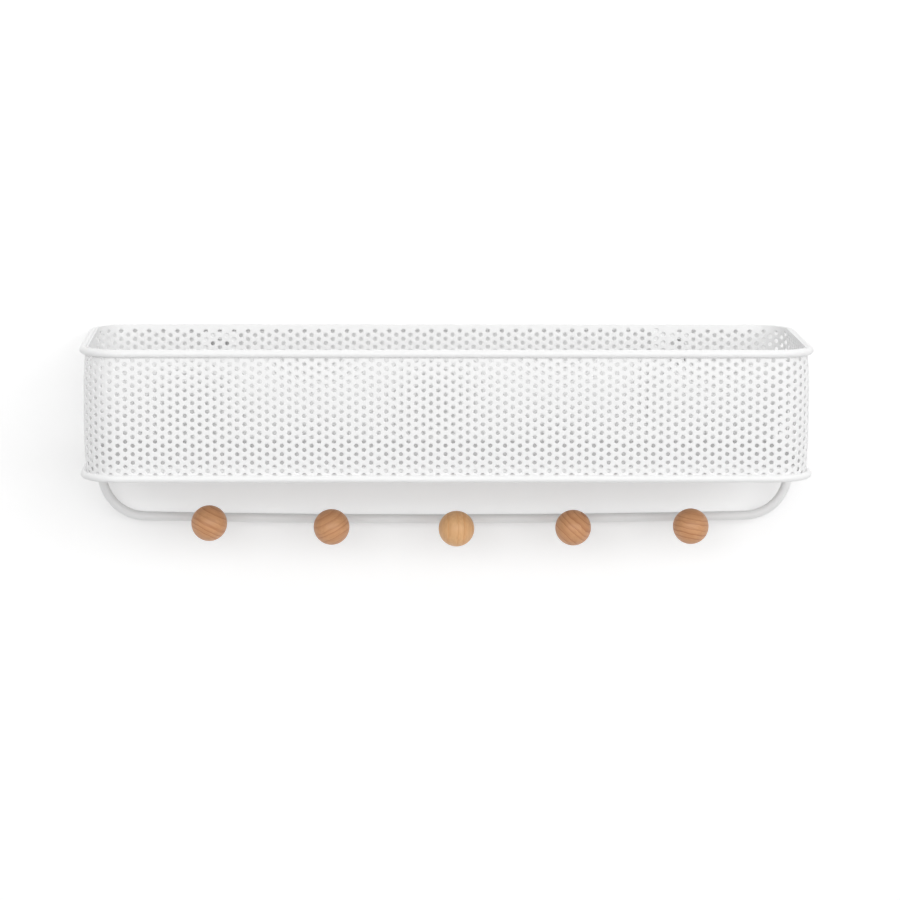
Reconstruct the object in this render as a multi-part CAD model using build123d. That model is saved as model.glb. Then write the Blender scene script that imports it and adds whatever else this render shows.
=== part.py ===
from build123d import *
from math import atan2, degrees, sqrt
import os

# Wall basket of perforated sheet steel with round-wire rims, a bent-rod rail below it and five ball pegs.
# Millimetres. X runs along the wall, +Y into the wall, +Z up. The wall is the plane Y = 0.
# The origin is on the wall, midway between the round entries of the two keyholes.

# --- driving dimensions ---------------------------------------------------------------------------
# Basket, measured over the rim wires
basket_width = 410.0
basket_depth = 128.8
basket_height = 74.0
basket_shift = -3.0          # centre of the basket, along X from the centre of the keyholes
sheet_corner_radius = 19.0   # outside of the sheet
sheet_thickness = 0.8
rim_wire = 4.1
weld_gap = 0.05              # line left between two pieces that are spot-welded together
rim_above_keyholes = 14.3    # centre of the top rim above the keyhole entries

# Lap seam in the rear wall: the outer layer passes behind the end of the inner one
seam_edge_x = 129.7          # end of the inner layer, seen from inside the basket
seam_overlap = 9.7
corner_lead = 2.0            # the outer layer is back in the plane of the wall this far before the corner

# Floor tray
floor_above_rim = 2.9        # top of the floor above the centre of the bottom rim
floor_lip = 3.2              # height of the upturned lip above the floor
floor_bend_radius = 1.2      # outside of the bend between floor and lip

# Keyhole plates
keyhole_spacing = 266.0
keyhole_entry_radius = 5.0
keyhole_slot_width = 4.6
keyhole_slot_rise = 5.0      # from the centre of the entry to the centre of the slot's round end
plate_width = 21.5
plate_height = 27.5
plate_above_entry = 12.1     # top edge of the plate above the centre of the entry
plate_thickness = 0.8
plate_corner_radius = 2.5
boss_width = 15.4
boss_height = 20.0
boss_above_entry = 8.6       # top of the raised boss above the centre of the entry
boss_corner_radius = 6.0

# Rail
rail_rod = 5.4
rail_from_wall = 13.7        # centre of the rod
rail_drop = 41.9             # lowest point of the rod's centre line below the centre of the bottom rim
rail_bend_radius = 25.5      # centre line
rail_sag_radius = 8000.0     # centre line of the long, slightly dipping stretch
rail_shift = 2.0             # centre of the rail, along X from the centre of the basket
leg_outset = 0.5             # legs stand this far outside the centre line of the rim above them

# Ball pegs: studs welded square to the rod by hand, so each ball wanders a little
peg_pitch = 70.0
peg_shift = 2.0              # middle peg, along X from the centre of the keyholes
peg_wander_x = (-0.7, 0.0, 2.4, 0.1, -1.5)
peg_wander_z = (1.6, 0.2, -0.6, -0.4, -0.6)
peg_reach = 30.0             # centre of the rod to the centre of the ball
ball_diameter = 20.8
ball_flat_diameter = 7.0
stud_diameter = 4.0
stud_in_ball = 9.0           # length of stud inside the ball's hole
stud_clearance = 0.05        # between stud and hole, all round
stud_tip_gap = 1.0           # hole is deeper than the stud by this
weld_collar_radius = 3.0
weld_collar_length = 1.8     # beyond the surface of the rod

# --- derived places -------------------------------------------------------------------------------
rim_radius = rim_wire / 2
rim_reach = rim_wire + weld_gap                       # outside of the rim beyond the outside of the sheet
half_width = basket_width / 2 - rim_reach             # sheet, outside
sheet_rear = -rim_reach
sheet_front = -basket_depth + rim_reach
lap_rear = sheet_rear + sheet_thickness               # outside of the layer that laps over
top_rim_z = rim_above_keyholes
bottom_rim_z = top_rim_z - (basket_height - rim_wire)
sheet_top = top_rim_z + rim_radius
sheet_bottom = bottom_rim_z - rim_radius
floor_top = bottom_rim_z + floor_above_rim
floor_bottom = floor_top - sheet_thickness
left_x = basket_shift - half_width
right_x = basket_shift + half_width

rail_y = -rail_from_wall
rail_z = bottom_rim_z - rail_drop
rail_x = basket_shift + rail_shift
ball_radius = ball_diameter / 2


def slab(face, low, high):
    """The plan face raised from height low to height high."""
    return extrude(Pos(0, 0, low) * face, amount=high - low)


def rounded_outline(points, rounded, radius):
    """Closed plan outline through the points, whose `rounded` ones are rounded to the radius."""
    face = make_face(Polyline(*points, close=True))
    corners = [v for p in rounded for v in face.vertices() if (v.center() - Vector(*p, 0)).length < 1e-6]
    return fillet(corners, radius)


def wall_outside(clearance=0.0):
    """Plan outline of the outside of the sheet, with the step where the outer layer of the lap ends.
    From the seam the outer layer comes back to the plane of the wall just before the corner."""
    front_left = (left_x - clearance, sheet_front - clearance)
    front_right = (right_x + clearance, sheet_front - clearance)
    rear_right = (right_x + clearance, sheet_rear + clearance)
    rear_left = (left_x - clearance, sheet_rear + clearance)
    settled = (right_x - sheet_corner_radius - corner_lead, sheet_rear + clearance)
    lap_end = seam_edge_x - seam_overlap - clearance
    step = [(seam_edge_x, lap_rear + clearance), (lap_end, lap_rear + clearance), (lap_end, sheet_rear + clearance)]
    return rounded_outline(
        [front_left, front_right, rear_right, settled, *step, rear_left],
        [front_left, front_right, rear_right, rear_left], sheet_corner_radius + clearance,
    )


def wall_inside():
    """Plan outline of the inside of the sheet, with the step at the end of the inner layer."""
    rear = sheet_rear - sheet_thickness
    front_left = (left_x + sheet_thickness, sheet_front + sheet_thickness)
    front_right = (right_x - sheet_thickness, sheet_front + sheet_thickness)
    rear_right = (right_x - sheet_thickness, rear)
    rear_left = (left_x + sheet_thickness, rear)
    settled = (right_x - sheet_corner_radius - corner_lead, rear)
    step = [(seam_edge_x, lap_rear - sheet_thickness), (seam_edge_x, rear)]
    return rounded_outline(
        [front_left, front_right, rear_right, settled, *step, rear_left],
        [front_left, front_right, rear_right, rear_left], sheet_corner_radius - sheet_thickness,
    )


def basket_wall():
    """One strip of sheet bent round to a band and lap-welded at the rear. Its perforation is left out here."""
    return slab(wall_outside() - wall_inside(), sheet_bottom, sheet_top)


def rim(z):
    """Ring of round wire outside the sheet, pressed flat where the lap seam passes behind it."""
    loop = RectangleRounded(
        basket_width - rim_wire, basket_depth - rim_wire, sheet_corner_radius + weld_gap + rim_radius
    )
    path = (Pos(basket_shift, -basket_depth / 2, z) * loop).face().outer_wire()
    start = Plane(origin=path @ 0, z_dir=path % 0)
    ring = sweep(start * Circle(rim_radius), path=path)
    return ring - slab(wall_outside(weld_gap / 2), z - rim_wire, z + rim_wire)


def floor_panel():
    """Pressed tray with an upturned lip, spot-welded inside the foot of the wall."""
    width = 2 * (half_width - sheet_thickness - weld_gap)
    depth = sheet_rear - sheet_front - 2 * (sheet_thickness + weld_gap)
    radius = sheet_corner_radius - sheet_thickness - weld_gap
    middle = Pos(basket_shift, (sheet_rear + sheet_front) / 2)
    outside = slab(middle * RectangleRounded(width, depth, radius), floor_bottom, floor_top + floor_lip)
    outside = fillet(outside.faces().sort_by(Axis.Z)[0].edges(), floor_bend_radius)
    hollow = slab(
        middle * RectangleRounded(width - 2 * sheet_thickness, depth - 2 * sheet_thickness, radius - sheet_thickness),
        floor_top, floor_top + floor_lip + 1,
    )
    hollow = fillet(hollow.faces().sort_by(Axis.Z)[0].edges(), floor_bend_radius - sheet_thickness)
    return outside - hollow


def keyhole_plate(x, seat):
    """Pressed plate on the outside of the rear wall at y = seat. Its boss stands out to the wall plane,
    which leaves room for a screw head behind the keyhole."""
    def upright(width, height, top, radius, near, far):
        face = Pos(x, top - height / 2) * RectangleRounded(width, height, radius)
        return extrude(Plane.XZ.offset(-near) * face, amount=near - far)

    flange = upright(plate_width, plate_height, plate_above_entry, plate_corner_radius, seat, seat + plate_thickness)
    boss = upright(boss_width, boss_height, boss_above_entry, boss_corner_radius, seat, 0)
    hollow = upright(
        boss_width - 2 * plate_thickness, boss_height - 2 * plate_thickness, boss_above_entry - plate_thickness,
        boss_corner_radius - plate_thickness, seat - 1, -plate_thickness,
    )
    keyhole = Pos(x, 0) * Circle(keyhole_entry_radius) + Pos(x, keyhole_slot_rise) * Circle(keyhole_slot_width / 2)
    keyhole += Pos(x, keyhole_slot_rise / 2) * Rectangle(keyhole_slot_width, keyhole_slot_rise)
    cut = extrude(Plane.XZ.offset(-1) * keyhole, amount=2 + plate_thickness)
    return (flange + boss) - hollow - cut


def rim_half_width_at(y):
    """Half-width of the rim's centre line at the depth y, in the rear corners."""
    radius = sheet_corner_radius + weld_gap + rim_radius
    straight = basket_width / 2 - rim_radius
    into_corner = y - (-rim_radius - radius)
    if into_corner <= 0:
        return straight
    return straight - radius + sqrt(radius**2 - into_corner**2)


leg_half_width = rim_half_width_at(rail_y) + leg_outset


def rail_height(x):
    """Height of the centre line of the rail's long stretch at x."""
    return rail_z + rail_sag_radius - sqrt(rail_sag_radius**2 - (x - rail_x) ** 2)


def rail_solid(rod):
    """The U-shaped rod: two legs cut square under the rim, two bends and a long stretch that dips a little."""
    reach = leg_half_width - rail_bend_radius
    sag_centre = rail_z + rail_sag_radius
    bend_z = sag_centre - sqrt((rail_sag_radius - rail_bend_radius) ** 2 - reach**2)
    lean = degrees(atan2(reach, sag_centre - bend_z))
    leg_top = bottom_rim_z - rim_radius - weld_gap
    path = Wire([
        Line((rail_x - leg_half_width, leg_top), (rail_x - leg_half_width, bend_z)),
        CenterArc((rail_x - reach, bend_z), rail_bend_radius, 180, 90 - lean),
        CenterArc((rail_x, sag_centre), rail_sag_radius, 270 - lean, 2 * lean),
        CenterArc((rail_x + reach, bend_z), rail_bend_radius, 270 + lean, 90 - lean),
        Line((rail_x + leg_half_width, bend_z), (rail_x + leg_half_width, leg_top)),
    ])
    path = Plane.XZ.offset(-rail_y) * path
    start = Plane(origin=path @ 0, z_dir=path % 0)
    return sweep(start * Circle(rod / 2), path=path)


def peg_plane(i):
    """Plane at the centre of ball i, whose z axis points along the stud, away from the rod."""
    x = peg_shift + peg_pitch * (i - 2)
    root = Vector(x, rail_y, rail_height(x))
    ball = Vector(x + peg_wander_x[i], rail_y - peg_reach, root.Z + peg_wander_z[i])
    return Plane(origin=ball, z_dir=ball - root)


def from_ball(plane, radius, low, high, tip_radius=None):
    """Round bar, or cone if tip_radius is given, along the plane's z axis from low to high."""
    shape = Cylinder(radius, high - low) if tip_radius is None else Cone(radius, tip_radius, high - low)
    return plane * Pos(0, 0, (low + high) / 2) * shape


def ball_flat(radius=ball_radius):
    """Distance of the drilled flat from the centre of the ball."""
    return sqrt(radius**2 - (ball_flat_diameter / 2) ** 2)


def peg_stud(i, rod_clearance):
    """Plain stud with a weld collar, coped to the surface of the rod."""
    plane = peg_plane(i)
    tip = stud_in_ball - ball_flat()
    bar = from_ball(plane, stud_diameter / 2, -peg_reach, tip)
    collar = from_ball(plane, weld_collar_radius, -peg_reach, -peg_reach + rail_rod / 2 + weld_collar_length,
                       stud_diameter / 2)
    return bar + collar - rod_clearance


def peg_ball(i):
    """Turned wooden ball with a drilled flat at the back."""
    plane = peg_plane(i)
    ball = plane * Sphere(ball_radius)
    flat = from_ball(plane, ball_radius, -2 * ball_radius, -ball_flat())
    hole = from_ball(plane, stud_diameter / 2 + stud_clearance, -2 * ball_radius,
                     stud_in_ball - ball_flat() + stud_tip_gap)
    return ball - flat - hole


# --- assembly -------------------------------------------------------------------------------------
rod_clearance = rail_solid(rail_rod + 2 * weld_gap)

nodes = {
    "basket_wall": basket_wall(),
    "floor_panel": floor_panel(),
    "top_rim": rim(top_rim_z),
    "bottom_rim": rim(bottom_rim_z),
    "keyhole_plate_left": keyhole_plate(-keyhole_spacing / 2, sheet_rear + weld_gap),
    "keyhole_plate_right": keyhole_plate(keyhole_spacing / 2, lap_rear + weld_gap),
    "peg_rail": rail_solid(rail_rod),
}
for i in range(len(peg_wander_x)):
    nodes[f"peg_stud_{i + 1}"] = peg_stud(i, rod_clearance)
    nodes[f"peg_ball_{i + 1}"] = peg_ball(i)

os.makedirs("parts", exist_ok=True)
for name, shape in nodes.items():
    solids = shape.solids()
    print(name, len(solids), "solids", round(sum(s.volume for s in solids), 1), "mm3")
    export_step(solids[0] if len(solids) == 1 else Compound(solids), f"parts/{name}.step")
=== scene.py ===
import math

import bpy
import numpy as np
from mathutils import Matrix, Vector


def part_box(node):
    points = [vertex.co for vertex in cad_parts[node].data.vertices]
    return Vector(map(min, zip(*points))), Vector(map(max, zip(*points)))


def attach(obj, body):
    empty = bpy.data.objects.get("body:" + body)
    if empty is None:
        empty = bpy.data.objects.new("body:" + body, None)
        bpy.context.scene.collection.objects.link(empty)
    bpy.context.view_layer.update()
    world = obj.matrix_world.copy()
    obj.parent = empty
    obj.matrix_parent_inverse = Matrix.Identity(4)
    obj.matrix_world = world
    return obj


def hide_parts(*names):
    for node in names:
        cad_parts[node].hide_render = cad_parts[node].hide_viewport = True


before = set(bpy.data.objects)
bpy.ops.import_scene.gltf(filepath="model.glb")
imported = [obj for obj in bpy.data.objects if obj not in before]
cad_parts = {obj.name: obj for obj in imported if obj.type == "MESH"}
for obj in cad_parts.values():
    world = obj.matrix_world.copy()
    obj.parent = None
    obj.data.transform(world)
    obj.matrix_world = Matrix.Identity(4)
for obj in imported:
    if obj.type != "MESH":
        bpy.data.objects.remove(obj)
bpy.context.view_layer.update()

# --- Basket wall ----------------------------------------------------------------------------------
# One strip of perforated sheet steel, 0.8 mm thick, bent round to a band. Its two ends overlap in the
# rear wall, where they are spot-welded. The pull of the rims leaves the sheet a little proud between them.
mm = 0.001
wall_low, wall_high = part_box("basket_wall")
sheet = 0.8 * mm
sheet_corner = 19 * mm              # outside radius
lap_width = 9.7 * mm
inner_end = 129.7 * mm              # where the inner layer ends, along X
corner_lead = 2 * mm                # the outer layer is back in the wall's plane this far before the corner

hole_pitch = 4.7625 * mm            # 3/16 inch, staggered at 60 degrees
hole_radius = 1.2 * mm
column_pitch = hole_pitch * math.sqrt(3) / 2
long_column = 15                    # holes in a long column; the columns between have one less
columns = 247
first_column = 3.685 * mm           # middle of the first column from the outer layer's end
first_row = 3.394 * mm              # middle of the top hole of a long column from the sheet's top edge
face_steps = 12                     # sides of a hole
ring_inset = 0.72 * hole_radius     # from the edge of a hole's patch of sheet in to a ring round the hole
punched_band = 0.24 * hole_radius   # from that ring in to the hole's edge, which the punch has thinned
edge_thickness = 0.45               # thickness of the hole's edge, as a share of the sheet's
touching = 0.02 * mm                # points nearer than this are one

side_bulge = 2.0 * mm
front_bulge = 1.7 * mm
row_drop = 0.67 * mm                # the most that a row of holes runs below its place
tipped_up = 0.09 * mm               # the bulge tips the top edge, and lifts its outer corner by this


def alone(piece):
    """Leaves this piece alone selected, and active."""
    bpy.ops.object.select_all(action="DESELECT")
    piece.select_set(True)
    bpy.context.view_layer.objects.active = piece


def edit(piece, chosen=None):
    """Opens the piece in edit mode, with the points selected whose place passes the test, or none."""
    alone(piece)
    bpy.ops.object.mode_set(mode="EDIT")
    bpy.ops.mesh.select_mode(type="VERT")
    bpy.ops.mesh.select_all(action="DESELECT")
    if chosen:
        bpy.ops.object.mode_set(mode="OBJECT")
        for point in piece.data.vertices:
            point.select = chosen(point.co)
        bpy.ops.object.mode_set(mode="EDIT")


def close_edit():
    bpy.ops.object.mode_set(mode="OBJECT")


def modify(piece, kind, **settings):
    """Adds a modifier to the piece and applies it."""
    alone(piece)
    modifier = piece.modifiers.new(kind.lower(), kind)
    for name, value in settings.items():
        setattr(modifier, name, value)
    bpy.ops.object.modifier_apply(modifier=modifier.name)


def copied(piece, name):
    """A copy of the piece with a mesh of its own."""
    copy = piece.copy()
    copy.data = piece.data.copy()
    copy.name = copy.data.name = name
    bpy.context.collection.objects.link(copy)
    return copy


def punched_cell():
    """The six-sided patch of flat sheet round one hole, across X and Z, with the hole's edge in a group."""
    bpy.ops.object.select_all(action="DESELECT")
    bpy.ops.mesh.primitive_circle_add(
        vertices=face_steps // 2, radius=hole_pitch / math.sqrt(3), fill_type="NOTHING",
        rotation=(math.radians(90), math.radians(30), 0),
    )
    cell = bpy.context.active_object
    bpy.ops.object.transform_apply(location=False, rotation=True, scale=False)
    edit(cell)
    bpy.ops.mesh.select_all(action="SELECT")
    bpy.ops.mesh.subdivide(number_cuts=1)
    bpy.ops.mesh.edge_face_add()
    bpy.ops.mesh.inset(thickness=ring_inset)
    bpy.ops.transform.tosphere(value=1)
    bpy.ops.mesh.inset(thickness=punched_band)
    close_edit()
    made = next(point.co.length for point in cell.data.vertices if point.select)
    bpy.ops.object.mode_set(mode="EDIT")
    bpy.ops.transform.resize(value=[hole_radius / made] * 3, center_override=(0, 0, 0))
    bpy.ops.object.vertex_group_add()
    bpy.ops.object.vertex_group_assign()
    bpy.ops.mesh.delete(type="ONLY_FACE")
    close_edit()
    cell.vertex_groups[0].name = "punched edge"
    return cell


# The middle of the bent strip's thickness, seen from above, as points and headings. It starts at the outer
# layer's end and goes round to the inner layer's.
middle_corner = sheet_corner - sheet / 2
left, right = wall_low[0] + sheet / 2, wall_high[0] - sheet / 2
front, outer_rear = wall_low[1] + sheet / 2, wall_high[1] - sheet / 2
rear = outer_rear - sheet
settled = right - middle_corner - corner_lead
bends = [
    ((inner_end - lap_width, outer_rear), (1, 0)),
    ((inner_end, outer_rear), (1, 0)),
    ((settled, rear), (1, 0)),
    ((right - middle_corner, rear), (1, 0)),
    ((right, rear - middle_corner), (0, -1)),
    ((right, front + middle_corner), (0, -1)),
    ((right - middle_corner, front), (-1, 0)),
    ((left + middle_corner, front), (-1, 0)),
    ((left, front + middle_corner), (0, 1)),
    ((left, rear - middle_corner), (0, 1)),
    ((left + middle_corner, rear), (1, 0)),
    ((inner_end, rear), (1, 0)),
]
arc_handle = 0.5523 * middle_corner     # makes a curve with two such handles a quarter of a circle
guide_curve = bpy.data.curves.new("bend_guide", "CURVE")
guide_curve.dimensions = "2D"
guide_curve.resolution_u = 48
guide_curve.use_deform_bounds = False
spline = guide_curve.splines.new("BEZIER")
spline.bezier_points.add(len(bends) - 1)
knots = spline.bezier_points
for knot, (place, _) in zip(knots, bends):
    knot.handle_left_type = knot.handle_right_type = "FREE"
    knot.co = knot.handle_left = knot.handle_right = (*place, 0)
reached = [0.0]                     # length of strip up to each of the points
for start, end, (_, out), (_, into) in zip(knots, knots[1:], bends, bends[1:]):
    chord = end.co - start.co
    if out == into:
        start.handle_right = start.co + chord / 3
        end.handle_left = end.co - chord / 3
        reached.append(reached[-1] + chord.length)
    else:
        start.handle_right = start.co + Vector((*out, 0)) * arc_handle
        end.handle_left = end.co - Vector((*into, 0)) * arc_handle
        reached.append(reached[-1] + middle_corner * math.pi / 2)
guide = bpy.data.objects.new("bend_guide", guide_curve)
bpy.context.collection.objects.link(guide)

(_, _, _, right_rear_bend, right_side, right_front_bend, front_side,
 left_front_bend, left_side, left_rear_bend, rear_side, strip_end) = reached

# The punched strip as it lies flat. Its length runs along X, and the side that will face outwards is +Y.
# Its left end was drawn up tighter in the bending, so the columns there stand a little closer.
drawn_in = 2.48 * mm
rows_lowest = rear_side + 44 * mm   # where the rows behind the basket's left half have come down most
rows_level = strip_end - 15 * mm    # and where they are back at their place
drop_along = (
    [0, right_rear_bend, right_front_bend, left_side, rows_lowest, rows_level],
    [1, 1, 0, 0, 1, 0],
)
bulge_along = (
    [0, right_rear_bend, right_side, right_front_bend, front_side,
     left_front_bend, left_side, left_rear_bend, rear_side, strip_end],
    [0, 0, 1, 1, front_bulge / side_bulge, front_bulge / side_bulge, 1, 1, 0, 0],
)
sheet_top, sheet_bottom = wall_high[2], wall_low[2]
top_row = sheet_top - first_row
bottom_row = top_row - (long_column - 1) * hole_pitch


def bulge_at(point):
    """How far the sheet stands out at this point of the flat strip, as a share of the most."""
    height = 2 * (point.z - sheet_bottom) / (sheet_top - sheet_bottom) - 1
    return float(np.interp(point.x, *bulge_along)) * (1 - height ** 4)


def weigh(piece, group_name, weight_at):
    """Gives every point of the piece its weight in a new group."""
    group = piece.vertex_groups.new(name=group_name)
    for point in piece.data.vertices:
        group.add([point.index], weight_at(point.co), "REPLACE")


def select_outline(piece, chosen):
    """Edit mode with the points of the piece's outer border selected that pass the test, but no hole's."""
    edit(piece)
    bpy.ops.mesh.select_non_manifold()
    piece.vertex_groups.active_index = 0
    bpy.ops.object.vertex_group_deselect()
    close_edit()
    for point in piece.data.vertices:
        point.select = point.select and chosen(point.co)
    for edge in piece.data.edges:
        edge.select = all(piece.data.vertices[i].select for i in edge.vertices)
    bpy.ops.object.mode_set(mode="EDIT")


def drawn_to(flatten, level):
    """Extrudes the selected border and flattens its new edge to a level."""
    bpy.ops.mesh.extrude_edges_move()
    bpy.ops.transform.resize(value=flatten, center_override=level)
    close_edit()


def perforated_strip(name, first, last):
    """A length of the strip, from one column of holes to another, made flat and then bent to its place."""
    parts = []
    for parity in (0, 1):
        start = first + (first + parity) % 2
        number = (last - start) // 2 + 1
        part = copied(cell, name)
        part.location = (first_column + start * column_pitch, 0, top_row - (1 - parity) * hole_pitch / 2)
        alone(part)
        bpy.ops.object.transform_apply(location=True, rotation=False, scale=False)
        in_column = long_column - (1 - parity)
        for count, step in ((in_column, (0, 0, -hole_pitch)), (number, (2 * column_pitch, 0, 0))):
            modify(part, "ARRAY", count=count, use_relative_offset=False, use_constant_offset=True,
                   constant_offset_displace=step)
        parts.append(part)
    alone(parts[1])
    parts[0].select_set(True)
    bpy.ops.object.join()
    strip = parts[1]
    strip.name = strip.data.name = name
    edit(strip, lambda point: True)
    bpy.ops.mesh.remove_doubles(threshold=touching)
    close_edit()

    # The columns from the left front corner on are drawn together.
    stretch = rear_side - left_front_bend + drawn_in
    edit(strip, lambda point: left_front_bend < point.x <= left_front_bend + stretch)
    bpy.ops.transform.resize(value=(1 - drawn_in / stretch, 1, 1), center_override=(left_front_bend, 0, 0))
    close_edit()
    edit(strip, lambda point: point.x > left_front_bend + stretch)
    bpy.ops.transform.translate(value=(-drawn_in, 0, 0))
    close_edit()

    # The rows run low in places, and plain edges are drawn out round the outermost holes.
    weigh(strip, "row drop", lambda point: float(np.interp(point.x, *drop_along)))
    modify(strip, "DISPLACE", direction="Z", strength=-row_drop, mid_level=0, vertex_group="row drop")
    if first == 0:
        select_outline(strip, lambda point: point.x < first_column - hole_radius)
        drawn_to((0, 1, 1), (0, 0, 0))
    if last == columns - 1:
        select_outline(strip, lambda point: point.x > strip_end - first_column + hole_radius)
        drawn_to((0, 1, 1), (strip_end, 0, 0))
    select_outline(strip, lambda point: point.z > top_row - row_drop - touching)
    drawn_to((1, 1, 0), (0, 0, sheet_top - tipped_up))
    select_outline(strip, lambda point: point.z < bottom_row + touching)
    drawn_to((1, 1, 0), (0, 0, sheet_bottom))
    edit(strip, lambda point: True)
    bpy.ops.mesh.normals_make_consistent(inside=False)
    close_edit()

    # The sheet is pushed out, given its thickness and bent round.
    weigh(strip, "bulge", bulge_at)
    modify(strip, "DISPLACE", direction="Y", strength=side_bulge, mid_level=0, vertex_group="bulge")
    modify(strip, "SOLIDIFY", thickness=sheet, offset=0, vertex_group="punched edge",
           invert_vertex_group=True, thickness_vertex_group=edge_thickness)
    modify(strip, "CURVE", object=guide, deform_axis="POS_X")
    alone(strip)
    bpy.ops.object.shade_smooth_by_angle(angle=math.radians(25))
    return strip


cell = punched_cell()
front_first = 38                    # the strip is made in three lengths, so that none is too fine a mesh
front_last = 145
wall_pieces = [
    perforated_strip("basket_wall_lap_and_right", 0, front_first - 1),
    perforated_strip("basket_wall_front", front_first, front_last),
    perforated_strip("basket_wall_left_and_rear", front_last + 1, columns - 1),
]
bpy.data.objects.remove(cell)
bpy.data.objects.remove(guide)


class Value:
    """A number or colour that a shader node puts out, to be used in plain arithmetic."""

    def __init__(self, finish, socket):
        self.finish = finish
        self.socket = socket

    def joined(self, operation, first, second):
        return self.finish.node("ShaderNodeMath", {"operation": operation}, {0: first, 1: second})

    def __add__(self, other):
        return self.joined("ADD", self, other)

    def __sub__(self, other):
        return self.joined("SUBTRACT", self, other)

    def __rsub__(self, other):
        return self.joined("SUBTRACT", other, self)

    def __mul__(self, other):
        return self.joined("MULTIPLY", self, other)

    def __pow__(self, other):
        return self.joined("POWER", self, other)

    __radd__ = __add__
    __rmul__ = __mul__


class Finish:
    """The shader nodes of a material, or of the world."""

    def __init__(self, owner):
        owner.use_nodes = True
        self.owner = owner
        self.tree = owner.node_tree
        self.tree.nodes.clear()

    def node(self, kind, settings=None, inputs=None, output=0):
        """Adds a node. Its settings come first, then a value or link for each named or numbered socket."""
        node = self.tree.nodes.new(kind)
        for name, setting in (settings or {}).items():
            if name == "stops":
                while len(node.color_ramp.elements) < len(setting):
                    node.color_ramp.elements.new(1)
                for stop, (place, colour) in zip(node.color_ramp.elements, setting):
                    stop.position = place
                    stop.color = (*colour, 1)
            else:
                setattr(node, name, setting)
        for name, given in (inputs or {}).items():
            if isinstance(given, Value):
                self.tree.links.new(given.socket, node.inputs[name])
            else:
                node.inputs[name].default_value = given
        return Value(self, node.outputs[output])

    def noise(self, place, scale, detail, roughness=0.5):
        return self.node("ShaderNodeTexNoise", {}, {"Vector": place, "Scale": scale, "Detail": detail,
                                                    "Roughness": roughness})

    def colour_mix(self, factor, first, second):
        colours = {"data_type": "RGBA"}
        return self.node("ShaderNodeMix", colours, {0: factor, 6: first, 7: second}, output=2)

    def end(self, shader, kind="ShaderNodeOutputMaterial"):
        output = self.tree.nodes.new(kind)
        self.tree.links.new(shader.socket, output.inputs["Surface"])
        return self.owner


def powder_coat(name, shade, painted_shade_below=None, painted_shade_tone=None):
    """Satin powder coat, baked on the steel, with a fine orange peel. Below a height it can be painted grey
    as painted shade.
    """
    finish = Finish(bpy.data.materials.new(name))
    place = finish.node("ShaderNodeTexCoord", output=3)
    peel = finish.noise(place, 900, detail=2)
    cloud = finish.noise(place, 35, detail=3)
    colour = finish.colour_mix(cloud, (*[shade - 0.01] * 3, 1), (*[shade + 0.01] * 3, 1))
    # Painted shade: below the given height the colour turns a flat darker grey that stands in for shade.
    if painted_shade_below is not None:
        height = finish.node("ShaderNodeSeparateXYZ", {}, {"Vector": place}, output=2)
        painted_shade_mask = finish.node("ShaderNodeMath", {"operation": "LESS_THAN"}, {0: height, 1: painted_shade_below})
        colour = finish.colour_mix(painted_shade_mask, colour, (*[painted_shade_tone] * 3, 1))
    bump = finish.node("ShaderNodeBump", {}, {"Strength": 0.15, "Distance": 0.03 * mm, "Height": peel})
    shader = finish.node("ShaderNodeBsdfPrincipled", {}, {
        "Base Color": colour, "Roughness": 0.34 + cloud * 0.1, "Normal": bump, "IOR": 1.5,
    })
    return finish.end(shader)


white_coat = powder_coat("white_powder_coat", 0.93)


def coated(piece, node):
    """Gives a steel piece its powder coat, and has it stand for its node of the frame."""
    piece.data.materials.clear()
    piece.data.materials.append(white_coat)
    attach(piece, "root")
    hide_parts(node)


for piece in wall_pieces:
    coated(piece, "basket_wall")

# --- Rims -----------------------------------------------------------------------------------------
# Two rings of 4.1 mm round wire, bent to the wall's outline, butt-welded at the rear and spot-welded
# round the outside of the sheet's top and foot.
round_steps = 24
corner_steps = 12
weld_gap = 0.05 * mm                # between the sheet and the wire


def bar_end(name, radius, place, along):
    """The round end of a bar at its place, in edit mode with its edge selected, ready to be drawn out."""
    bpy.ops.object.select_all(action="DESELECT")
    turn = Vector(along).to_track_quat("Z", "Y").to_euler()
    bpy.ops.mesh.primitive_circle_add(vertices=round_steps, radius=radius, fill_type="NOTHING",
                                      location=place, rotation=turn)
    bar = bpy.context.active_object
    bar.name = bar.data.name = name
    bpy.ops.object.transform_apply(location=True, rotation=True, scale=False)
    edit(bar)
    bpy.ops.mesh.select_all(action="SELECT")
    return bar


def draw_out(move):
    """Draws the selected end of the bar straight on."""
    bpy.ops.mesh.extrude_edges_move(TRANSFORM_OT_translate={"value": move})


def bend_round(centre, axis, angle, steps):
    """Draws the selected end of the bar round a bend."""
    bpy.ops.mesh.spin(steps=steps, angle=angle, center=centre, axis=axis)


def finish_bar(bar):
    """Joins up what was drawn out, and ends the editing."""
    bpy.ops.mesh.select_all(action="SELECT")
    bpy.ops.mesh.remove_doubles(threshold=touching)
    bpy.ops.mesh.normals_make_consistent(inside=False)
    close_edit()
    alone(bar)
    bpy.ops.object.shade_smooth_by_angle(angle=math.radians(40))


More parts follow.
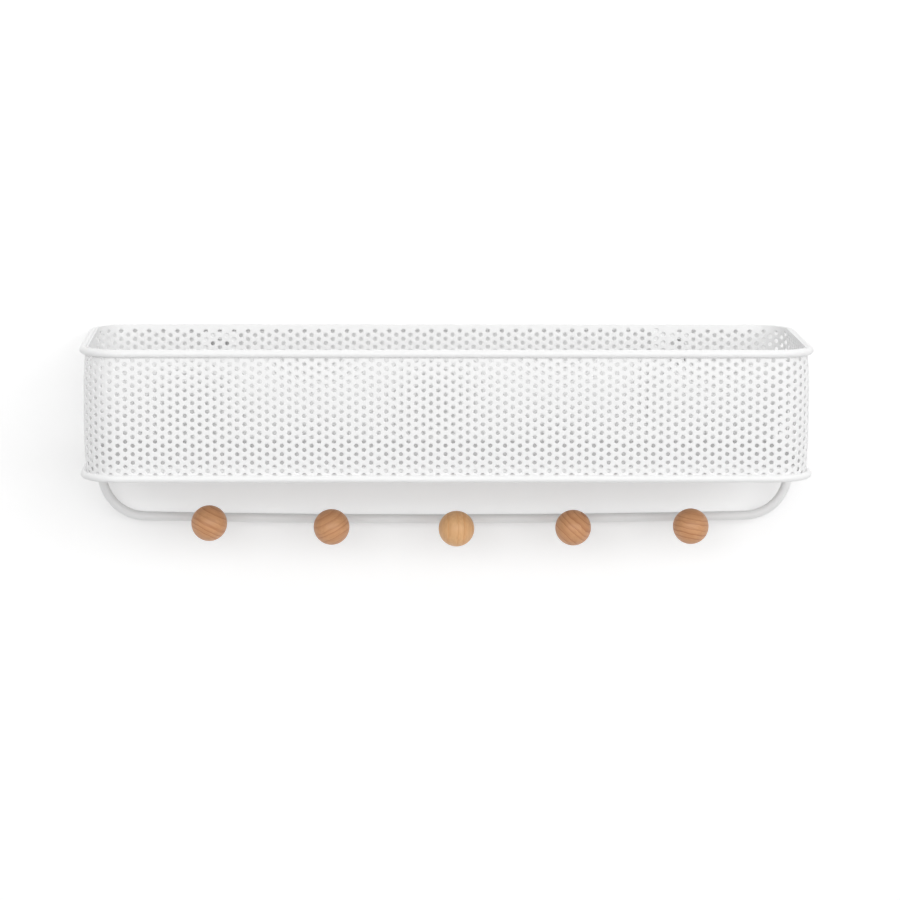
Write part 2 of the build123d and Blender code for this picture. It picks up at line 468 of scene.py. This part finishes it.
def wire_ring(name, node):
    """A ring of wire where the frame has it, begun and closed at the middle of the rear."""
    low, high = (Vector(corner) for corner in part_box(node))
    wire = (high.z - low.z) / 2
    level = (low.z + high.z) / 2
    bend = sheet_corner + weld_gap + wire
    middle = (low.x + high.x) / 2
    ring = bar_end(name, wire, (middle, high.y - wire, level), (1, 0, 0))
    half = (high.x - low.x) / 2 - wire - bend
    deep = high.y - low.y - 2 * (wire + bend)
    near, far = low.y + wire + bend, high.y - wire - bend
    draw_out((half, 0, 0))
    bend_round((middle + half, far, level), (0, 0, 1), math.pi / 2, corner_steps)
    draw_out((0, -deep, 0))
    bend_round((middle + half, near, level), (0, 0, 1), math.pi / 2, corner_steps)
    draw_out((-2 * half, 0, 0))
    bend_round((middle - half, near, level), (0, 0, 1), math.pi / 2, corner_steps)
    draw_out((0, deep, 0))
    bend_round((middle - half, far, level), (0, 0, 1), math.pi / 2, corner_steps)
    draw_out((half, 0, 0))
    finish_bar(ring)
    return ring


for node in ("top_rim", "bottom_rim"):
    coated(wire_ring(node + "_wire", node), node)

# --- Floor and keyhole plates ---------------------------------------------------------------------
# The floor is a pressed steel tray, spot-welded inside the foot of the wall by its upturned lip. Its flat
# is painted a darker grey, as painted shade for the shade deep in the basket. The two keyhole plates are
# small pressings, welded to the back of the rear wall, and their bosses leave room for a screw's head.
floor_top = -52.7 * mm
lip_foot = floor_top + 0.3 * mm     # from here up the plain white coat; below, the flat is painted grey as painted shade
# Painted shade: the tray's flat is coloured a darker grey for the shade deep inside the basket.
floor_coat_painted_shade = powder_coat("floor_powder_coat_painted_shade", 0.93, painted_shade_below=lip_foot, painted_shade_tone=0.60)
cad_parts["floor_panel"].material_slots[0].material = floor_coat_painted_shade
for name in ("keyhole_plate_left", "keyhole_plate_right"):
    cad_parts[name].material_slots[0].material = white_coat

# --- Rail -----------------------------------------------------------------------------------------
# One length of 5.4 mm rod bent to a wide U, which dips a little in the middle. Its two ends are cut
# square and welded under the bottom rim, and it is coated together with the basket.
rail_low, rail_high = (Vector(corner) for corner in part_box("peg_rail"))
rod = (rail_high.y - rail_low.y) / 2
rail_y = (rail_low.y + rail_high.y) / 2
rail_x = (rail_low.x + rail_high.x) / 2
rail_bend = 25.5 * mm
sag_radius = 8000 * mm
sag_steps = 32
lowest = rail_low.z + rod
leg_reach = (rail_high.x - rail_low.x) / 2 - rod
sag_centre = lowest + sag_radius
bend_x = leg_reach - rail_bend
bend_z = sag_centre - math.sqrt((sag_radius - rail_bend) ** 2 - bend_x ** 2)
sag_lean = math.atan2(bend_x, sag_centre - bend_z)

rail = bar_end("peg_rail_rod", rod, (rail_x - leg_reach, rail_y, rail_high.z), (0, 0, -1))
draw_out((0, 0, bend_z - rail_high.z))
bend_round((rail_x - bend_x, rail_y, bend_z), (0, 1, 0), math.pi / 2 - sag_lean, corner_steps)
bend_round((rail_x, rail_y, sag_centre), (0, 1, 0), 2 * sag_lean, sag_steps)
bend_round((rail_x + bend_x, rail_y, bend_z), (0, 1, 0), math.pi / 2 - sag_lean, corner_steps)
draw_out((0, 0, rail_high.z - bend_z))
finish_bar(rail)
edit(rail)
bpy.ops.mesh.select_non_manifold()
bpy.ops.mesh.edge_face_add()
close_edit()
coated(rail, "peg_rail")


def rail_height(x):
    """Height of the rod's centre line at x."""
    return sag_centre - math.sqrt(sag_radius ** 2 - (x - rail_x) ** 2)


# --- Studs ----------------------------------------------------------------------------------------
# Five short studs of 4 mm steel wire, welded square to the front of the rod and coated with it. Each
# holds a ball on its front end.
peg_count = 5
for i in range(peg_count):
    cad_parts[f"peg_stud_{i + 1}"].material_slots[0].material = white_coat

# --- Ball pegs ------------------------------------------------------------------------------------
# Five beech balls of 20.8 mm, turned and sanded, with a clear satin lacquer. Each has a small flat at
# the back with a blind hole, and is glued on its stud. The grain lies as each came off the lathe.
ball_radius = 10.4 * mm
flat_radius = 3.5 * mm
flat_rim = 0.2 * mm                 # narrow ring of faces that keeps the edge of the flat crisp
bore_radius = 2.05 * mm
bore_depth = 10 * mm
peg_pitch = 70 * mm
middle_peg = 2 * mm


def beech(name, centre, slope, lean, pith, spacing, light, dark):
    """Beech of a ball, whose fibres run down to the right by the slope and lean towards the room. The
    yearly rings go round a pith outside the ball, unevenly wide and unevenly dark, and fine streaks and
    short flecks lie along the fibres."""
    finish = Finish(bpy.data.materials.new(name))
    place = finish.node("ShaderNodeTexCoord", output=3)
    centred = finish.node("ShaderNodeVectorMath", {"operation": "SUBTRACT"}, {0: place, 1: centre})
    slope, lean = math.radians(slope), math.radians(lean)
    level = math.cos(lean)
    fibres = Vector((math.cos(slope) * level, -math.sin(lean), -math.sin(slope) * level))
    upward = Vector((math.sin(slope), 0, math.cos(slope)))
    along, across, deep = [
        finish.node("ShaderNodeVectorMath", {"operation": "DOT_PRODUCT"}, {0: centred, 1: way}, output=1)
        for way in (fibres, upward, fibres.cross(upward))
    ]
    waver = finish.noise(centred, 110, detail=2) - 0.5
    reach = ((across - pith[0]) ** 2 + (deep - pith[1]) ** 2) ** 0.5
    ring_place = finish.node("ShaderNodeCombineXYZ", {}, {0: reach, 1: pith[0], 2: pith[1]})
    drift = finish.noise(ring_place, 260, detail=1) - 0.5
    phase = (reach + waver * (1.2 * mm) + drift * (1.3 * spacing)) * (1 / spacing)
    year = finish.node("ShaderNodeMath", {"operation": "FRACT"}, {0: phase})
    strong = finish.noise(ring_place, 420, detail=1)
    late = year ** 5 * strong
    streaks = finish.node("ShaderNodeCombineXYZ", {}, {0: along * 0.05, 1: across, 2: deep})
    fibre = finish.noise(streaks, 900, detail=3, roughness=0.6)
    cloud = finish.noise(streaks, 160, detail=2)
    dashes = finish.node("ShaderNodeCombineXYZ", {}, {0: along * 0.16, 1: across, 2: deep})
    fleck = finish.node("ShaderNodeTexVoronoi", {"feature": "F1"}, {"Vector": dashes, "Scale": 1300})
    near_middle = [(0.0, (1, 1, 1)), (0.22, (0, 0, 0))]
    spots = finish.node("ShaderNodeValToRGB", {"stops": near_middle}, {"Fac": fleck})
    warm = (light[0] * 0.92, light[1] * 0.78, light[2] * 0.72, 1)
    brown = (light[0] * 0.72, light[1] * 0.58, light[2] * 0.5, 1)
    body = finish.colour_mix(cloud * 0.9, (*light, 1), warm)
    body = finish.colour_mix(late * 1.7, body, (*dark, 1))
    body = finish.colour_mix(fibre * 1.4 - 0.52, body, brown)
    body = finish.colour_mix(spots * 0.3, body, (*dark, 1))
    bump = finish.node("ShaderNodeBump", {}, {"Strength": 0.25, "Distance": 0.04 * mm, "Height": fibre})
    shader = finish.node("ShaderNodeBsdfPrincipled", {}, {
        "Base Color": body, "Roughness": 0.36 + fibre * 0.15, "Normal": bump, "IOR": 1.5,
    })
    return finish.end(shader)


def turned_ball(name, centre, away):
    """A ball with its poles on the stud's axis, cut flat and drilled at the back."""
    bpy.ops.object.select_all(action="DESELECT")
    turn = Vector(away).to_track_quat("Z", "Y").to_euler()
    bpy.ops.mesh.primitive_uv_sphere_add(segments=48, ring_count=24, radius=ball_radius,
                                         location=centre, rotation=turn)
    ball = bpy.context.active_object
    ball.name = ball.data.name = name
    bpy.ops.object.transform_apply(location=True, rotation=True, scale=False)
    away = Vector(away).normalized()
    flat = Vector(centre) - away * math.sqrt(ball_radius ** 2 - flat_radius ** 2)
    edit(ball)
    bpy.ops.mesh.select_all(action="SELECT")
    bpy.ops.mesh.bisect(plane_co=flat, plane_no=-away, clear_outer=True)
    bpy.ops.mesh.edge_face_add()
    bpy.ops.mesh.inset(thickness=flat_rim)
    bpy.ops.mesh.inset(thickness=flat_radius - bore_radius - flat_rim)
    bpy.ops.mesh.extrude_region_move(TRANSFORM_OT_translate={"value": away * bore_depth})
    bpy.ops.mesh.select_all(action="SELECT")
    bpy.ops.mesh.normals_make_consistent(inside=False)
    close_edit()
    alone(ball)
    bpy.ops.object.shade_smooth_by_angle(angle=math.radians(30))
    return ball


light_wood = (0.73, 0.40, 0.197)
dark_wood = (0.46, 0.15, 0.05)
pale_wood = (0.875, 0.54, 0.262)
pale_lines = (0.78, 0.37, 0.14)
# Slope and lean of the fibres, place of the pith, width of a year's ring, and the wood's two colours
grains = [
    (27, 4, (120 * mm, 0), 3.0 * mm, light_wood, dark_wood),
    (-29, -3, (-120 * mm, 0), 3.2 * mm, light_wood, dark_wood),
    (90, 3, (90 * mm, 0), 4.8 * mm, pale_wood, pale_lines),
    (42, 18, (52 * mm, 8 * mm), 3.0 * mm, light_wood, dark_wood),
    (11, 9, (110 * mm, 0), 2.7 * mm, light_wood, dark_wood),
]
for i, (slope, lean, pith, spacing, light, dark) in enumerate(grains):
    node = f"peg_ball_{i + 1}"
    low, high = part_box(node)
    centre = Vector(((low[0] + high[0]) / 2, low[1] + ball_radius, (low[2] + high[2]) / 2))
    root_x = middle_peg + peg_pitch * (i - peg_count // 2)
    away = centre - Vector((root_x, rail_y, rail_height(root_x)))
    ball = turned_ball(f"beech_ball_{i + 1}", centre, away)
    wood = beech(f"beech_{i + 1}", centre, slope, lean, pith, spacing, light, dark)
    ball.data.materials.append(wood)
    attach(ball, "root")
    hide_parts(node)

# --- Camera ---------------------------------------------------------------------------------------
# A long lens about two metres in front and a little above the basket, aimed at the lower half of its front.
camera_data = bpy.data.cameras.new("camera")
camera_data.lens = 144.854
camera_data.sensor_width = 36
camera = bpy.data.objects.new("camera", camera_data)
camera.location = (-61.483 * mm, -2111.199 * mm, 263.717 * mm)
camera.rotation_euler = [math.radians(angle) for angle in (81.3216, -0.2345, -1.6800)]
bpy.context.collection.objects.link(camera)
bpy.context.scene.camera = camera

# --- Wall and floor of the room -------------------------------------------------------------------
# A painted white wall that the basket hangs on, seen from its front only, and a matt grey floor far below.
# Both have a glow of their own, which makes them pale to the eye and lights nothing.
wall_gap = 0.3 * mm
wall_reach = 3.0
wall_glow = 0.21                    # near the basket
glow_grows_from = 0.7               # and this far out it begins to grow,
glow_growth = 0.5                   # by this much for each metre
room_floor = -1.2
floor_glow = 0.62


def seen(finish):
    """One for a ray that looks at the room, straight, in a gloss or through glass, and else nought."""
    rays = finish.node("ShaderNodeLightPath").socket.node.outputs
    looking = Value(finish, rays["Is Camera Ray"]) + Value(finish, rays["Is Glossy Ray"])
    return looking + Value(finish, rays["Is Transmission Ray"])


def wall_paint():
    """White wall paint. Its glow makes it white where no shadow falls, and its back can't be seen."""
    finish = Finish(bpy.data.materials.new("wall_paint"))
    place = finish.node("ShaderNodeTexCoord", output=3)
    mottle = finish.noise(place, 3, detail=1)
    colour = finish.colour_mix(mottle, (0.945, 0.945, 0.945, 1), (0.955, 0.955, 0.955, 1))
    matt = finish.node("ShaderNodeBsdfDiffuse", {}, {"Color": colour})
    away = finish.node("ShaderNodeVectorMath", {"operation": "LENGTH"}, {0: place}, output=1)
    farther = finish.node("ShaderNodeMath", {"operation": "MAXIMUM"}, {0: away - glow_grows_from, 1: 0.0})
    strength = seen(finish) * (wall_glow + farther * glow_growth)
    glow = finish.node("ShaderNodeEmission", {}, {"Color": (1, 1, 1, 1), "Strength": strength})
    lit = finish.node("ShaderNodeAddShader", {}, {0: matt, 1: glow})
    clear = finish.node("ShaderNodeBsdfTransparent")
    behind = finish.node("ShaderNodeNewGeometry", output=6)
    rays = finish.node("ShaderNodeLightPath").socket.node.outputs
    shadow = Value(finish, rays["Is Shadow Ray"])
    through = finish.node("ShaderNodeMath", {"operation": "MAXIMUM"}, {0: behind, 1: shadow})
    shader = finish.node("ShaderNodeMixShader", {}, {0: through, 1: lit, 2: clear})
    return finish.end(shader)


def floor_paint():
    """Matt grey floor paint. It throws little light up at the basket, and its glow makes it pale."""
    finish = Finish(bpy.data.materials.new("floor_paint"))
    place = finish.node("ShaderNodeTexCoord", output=3)
    mottle = finish.noise(place, 4, detail=2)
    colour = finish.colour_mix(mottle, (0.48, 0.48, 0.48, 1), (0.52, 0.52, 0.52, 1))
    matt = finish.node("ShaderNodeBsdfDiffuse", {}, {"Color": colour})
    strength = seen(finish) * floor_glow
    glow = finish.node("ShaderNodeEmission", {}, {"Color": (1, 1, 1, 1), "Strength": strength})
    shader = finish.node("ShaderNodeAddShader", {}, {0: matt, 1: glow})
    return finish.end(shader)


def painted_plane(name, place, turn, paint):
    """A square plane of the room."""
    bpy.ops.object.select_all(action="DESELECT")
    bpy.ops.mesh.primitive_plane_add(size=2 * wall_reach, location=place, rotation=(turn, 0, 0))
    plane = bpy.context.active_object
    plane.name = name
    bpy.ops.object.transform_apply(location=True, rotation=True, scale=True)
    plane.data.materials.append(paint)
    return plane


upright = (0, wall_gap, room_floor + wall_reach)
room_wall = painted_plane("room_wall", upright, math.radians(90), wall_paint())
room_floor_plane = painted_plane("room_floor", (0, 0, room_floor), 0, floor_paint())

# --- Light ----------------------------------------------------------------------------------------
# Two wide softboxes in front and a little to the right, one above the other and the lower one stronger, in
# a white room that is brighter overhead. A weak lamp low behind the wall lights the back of the basket.


def softbox(name, azimuth, elevation, distance, width, height, power):
    """A lamp that faces the basket. Azimuth 0 is straight in front of it, and positive is to the right."""
    lamp = bpy.data.lights.new(name, "AREA")
    lamp.shape = "RECTANGLE"
    lamp.size = width
    lamp.size_y = height
    lamp.energy = power
    holder = bpy.data.objects.new(name, lamp)
    turn, lift = math.radians(azimuth), math.radians(elevation)
    away = Vector((math.sin(turn) * math.cos(lift), -math.cos(turn) * math.cos(lift), math.sin(lift)))
    aim = Vector((0, -60 * mm, -30 * mm))
    holder.location = aim + away * distance
    holder.rotation_euler = away.to_track_quat("Z", "Y").to_euler()
    holder.visible_camera = False
    bpy.context.collection.objects.link(holder)


softbox("high_softbox", azimuth=11, elevation=24, distance=3.0, width=5.0, height=0.45, power=21)
softbox("low_softbox", azimuth=11, elevation=11, distance=3.0, width=5.0, height=0.9, power=36)
softbox("back_softbox", azimuth=180, elevation=-22, distance=2.0, width=1.2, height=0.8, power=2.0)

world = bpy.data.worlds.new("room")
bpy.context.scene.world = world
sky = Finish(world)
room_light = 0.33
ceiling_light = 0.92
towards = sky.node("ShaderNodeTexCoord", output=0)
height = sky.node("ShaderNodeSeparateXYZ", {}, {"Vector": towards}, output=2)
upward = sky.node("ShaderNodeMath", {"operation": "MAXIMUM"}, {0: height, 1: 0.0})
light = room_light - upward * (room_light - ceiling_light)
strength = light + seen(sky) * (1 - light)
background = sky.node("ShaderNodeBackground", {}, {"Color": (1, 1, 1, 1), "Strength": strength})
sky.end(background, "ShaderNodeOutputWorld")
world.cycles.sampling_method = "NONE"
bpy.context.scene.view_settings.view_transform = "Standard"
